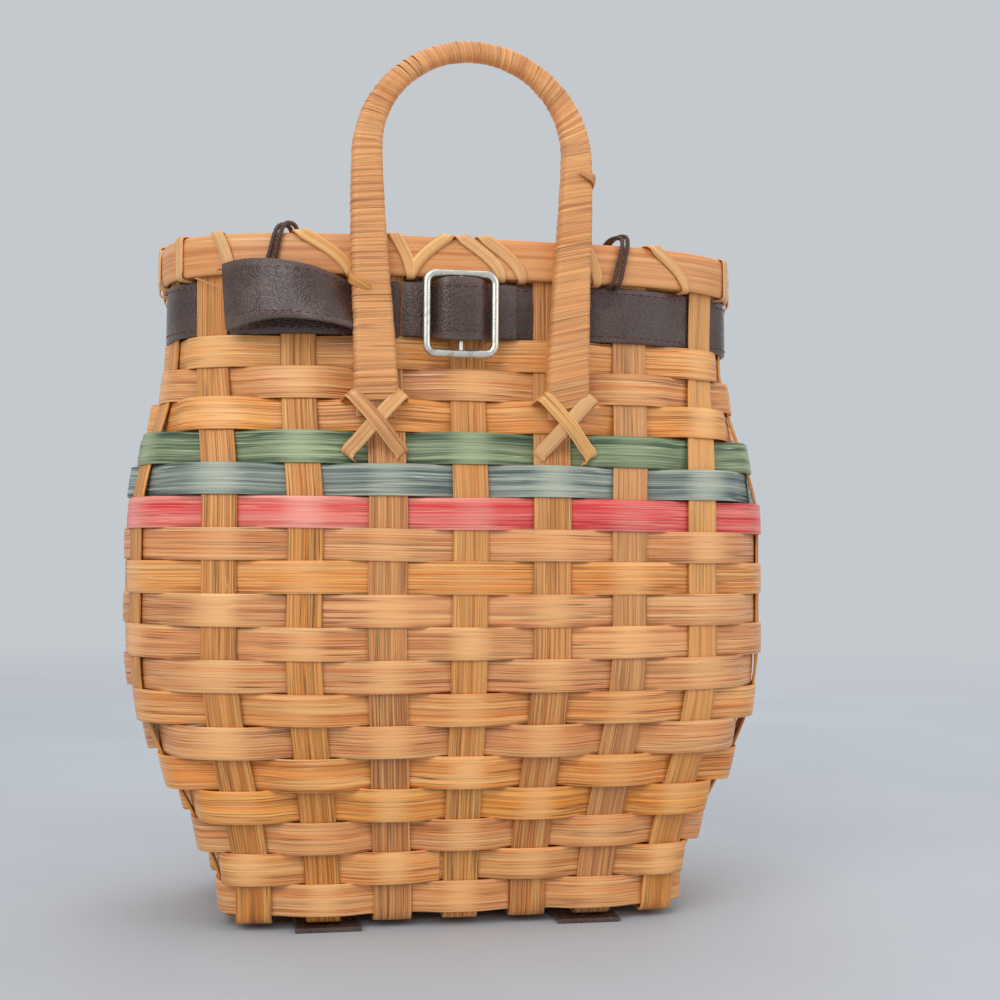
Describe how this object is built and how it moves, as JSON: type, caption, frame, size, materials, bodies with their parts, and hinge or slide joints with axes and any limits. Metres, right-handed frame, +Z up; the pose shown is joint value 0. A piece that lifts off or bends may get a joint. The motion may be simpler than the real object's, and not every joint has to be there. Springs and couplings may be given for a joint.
{
  "type": "wicker fishing creel",
  "caption": "Woven splint creel with a bent wrapped handle, leather harness belt with slide buckle, shoulder straps and a cord-hinged lid.",
  "frame": {"origin": "on the ground under the middle of the whole outline, the creel standing upright on its straps", "axes": "+Z up, +X to the right as seen from the front, front face with handle and buckle towards -Y, wearer's back towards +Y"},
  "size_m": [0.3208, 0.2024, 0.4148],
  "materials": {
    "weaver_splint": "flat woven splint, fine lengthwise grain, satin",
    "stake_splint": "coarser split upright with strong grain, satin",
    "dyed_red": "splint dyed coral red, streaky",
    "dyed_blue": "splint dyed slate blue, streaky",
    "dyed_green": "splint dyed dark green, streaky",
    "rim_hoop": "smooth bent hoop, satin",
    "cane_lashing": "split cane, slightly glossy",
    "handle_hoop": "bent hoop",
    "handle_cane": "round-backed split cane wrapped turn by turn",
    "harness_leather": "pebbled very dark brown leather with dark red stitching",
    "strap_leather": "dark brown leather with napped underside",
    "buckle_metal": "aged nickel-plated wire",
    "lid_splint": "flat woven splint",
    "waxed_cord": "braided waxed cord"
  },
  "bodies": {
    "basket": {"stake_front_1": "stake_splint", "stake_front_2": "stake_splint", "stake_front_3": "stake_splint", "stake_front_4": "stake_splint", "stake_front_5": "stake_splint", "stake_front_6": "stake_splint", "stake_front_7": "stake_splint", "stake_side_1": "stake_splint", "stake_side_2": "stake_splint", "stake_side_3": "stake_splint", "stake_side_4": "stake_splint", "weaver_01": "weaver_splint", "weaver_02": "weaver_splint", "weaver_03": "weaver_splint", "weaver_04": "weaver_splint", "weaver_05": "weaver_splint", "weaver_06": "weaver_splint", "weaver_07": "weaver_splint", "weaver_08": "weaver_splint", "weaver_09": "weaver_splint", "weaver_10": "weaver_splint", "weaver_11": "weaver_splint", "weaver_12": "weaver_splint", "weaver_13_red": "dyed_red", "weaver_14_blue": "dyed_blue", "weaver_15_green": "dyed_green", "weaver_16": "weaver_splint", "weaver_17": "weaver_splint", "weaver_18": "weaver_splint", "rim_outer_hoop": "rim_hoop", "rim_inner_hoop": "rim_hoop", "rim_lashing": "cane_lashing", "handle_core": "handle_hoop", "handle_wrap": "handle_cane", "handle_lashing_left": "cane_lashing", "handle_lashing_right": "cane_lashing", "harness_belt": "harness_leather", "belt_tail": "harness_leather", "shoulder_strap_left": "strap_leather", "shoulder_strap_right": "strap_leather", "hinge_cord_left": "waxed_cord", "hinge_cord_right": "waxed_cord"},
    "lid": {"lid_border_lower": "lid_splint", "lid_border_upper": "lid_splint", "lid_ribs": "lid_splint", "lid_slats": "lid_splint"},
    "buckle": {"slide_buckle": "buckle_metal", "belt_bight": "harness_leather"}
  },
  "joints": [
    {"name": "lid_hinge", "type": "hinge", "parent": "basket", "child": "lid", "pos_m": [0, -0.0789, 0.324], "axis": [1, 0, 0], "range_deg": [0, 94], "deforming": ["hinge_cord_left", "hinge_cord_right"]},
    {"name": "buckle_travel", "type": "slide", "parent": "basket", "child": "buckle", "axis": [1, 0, 0], "range_m": [-0.011, 0.018]}
  ]
}
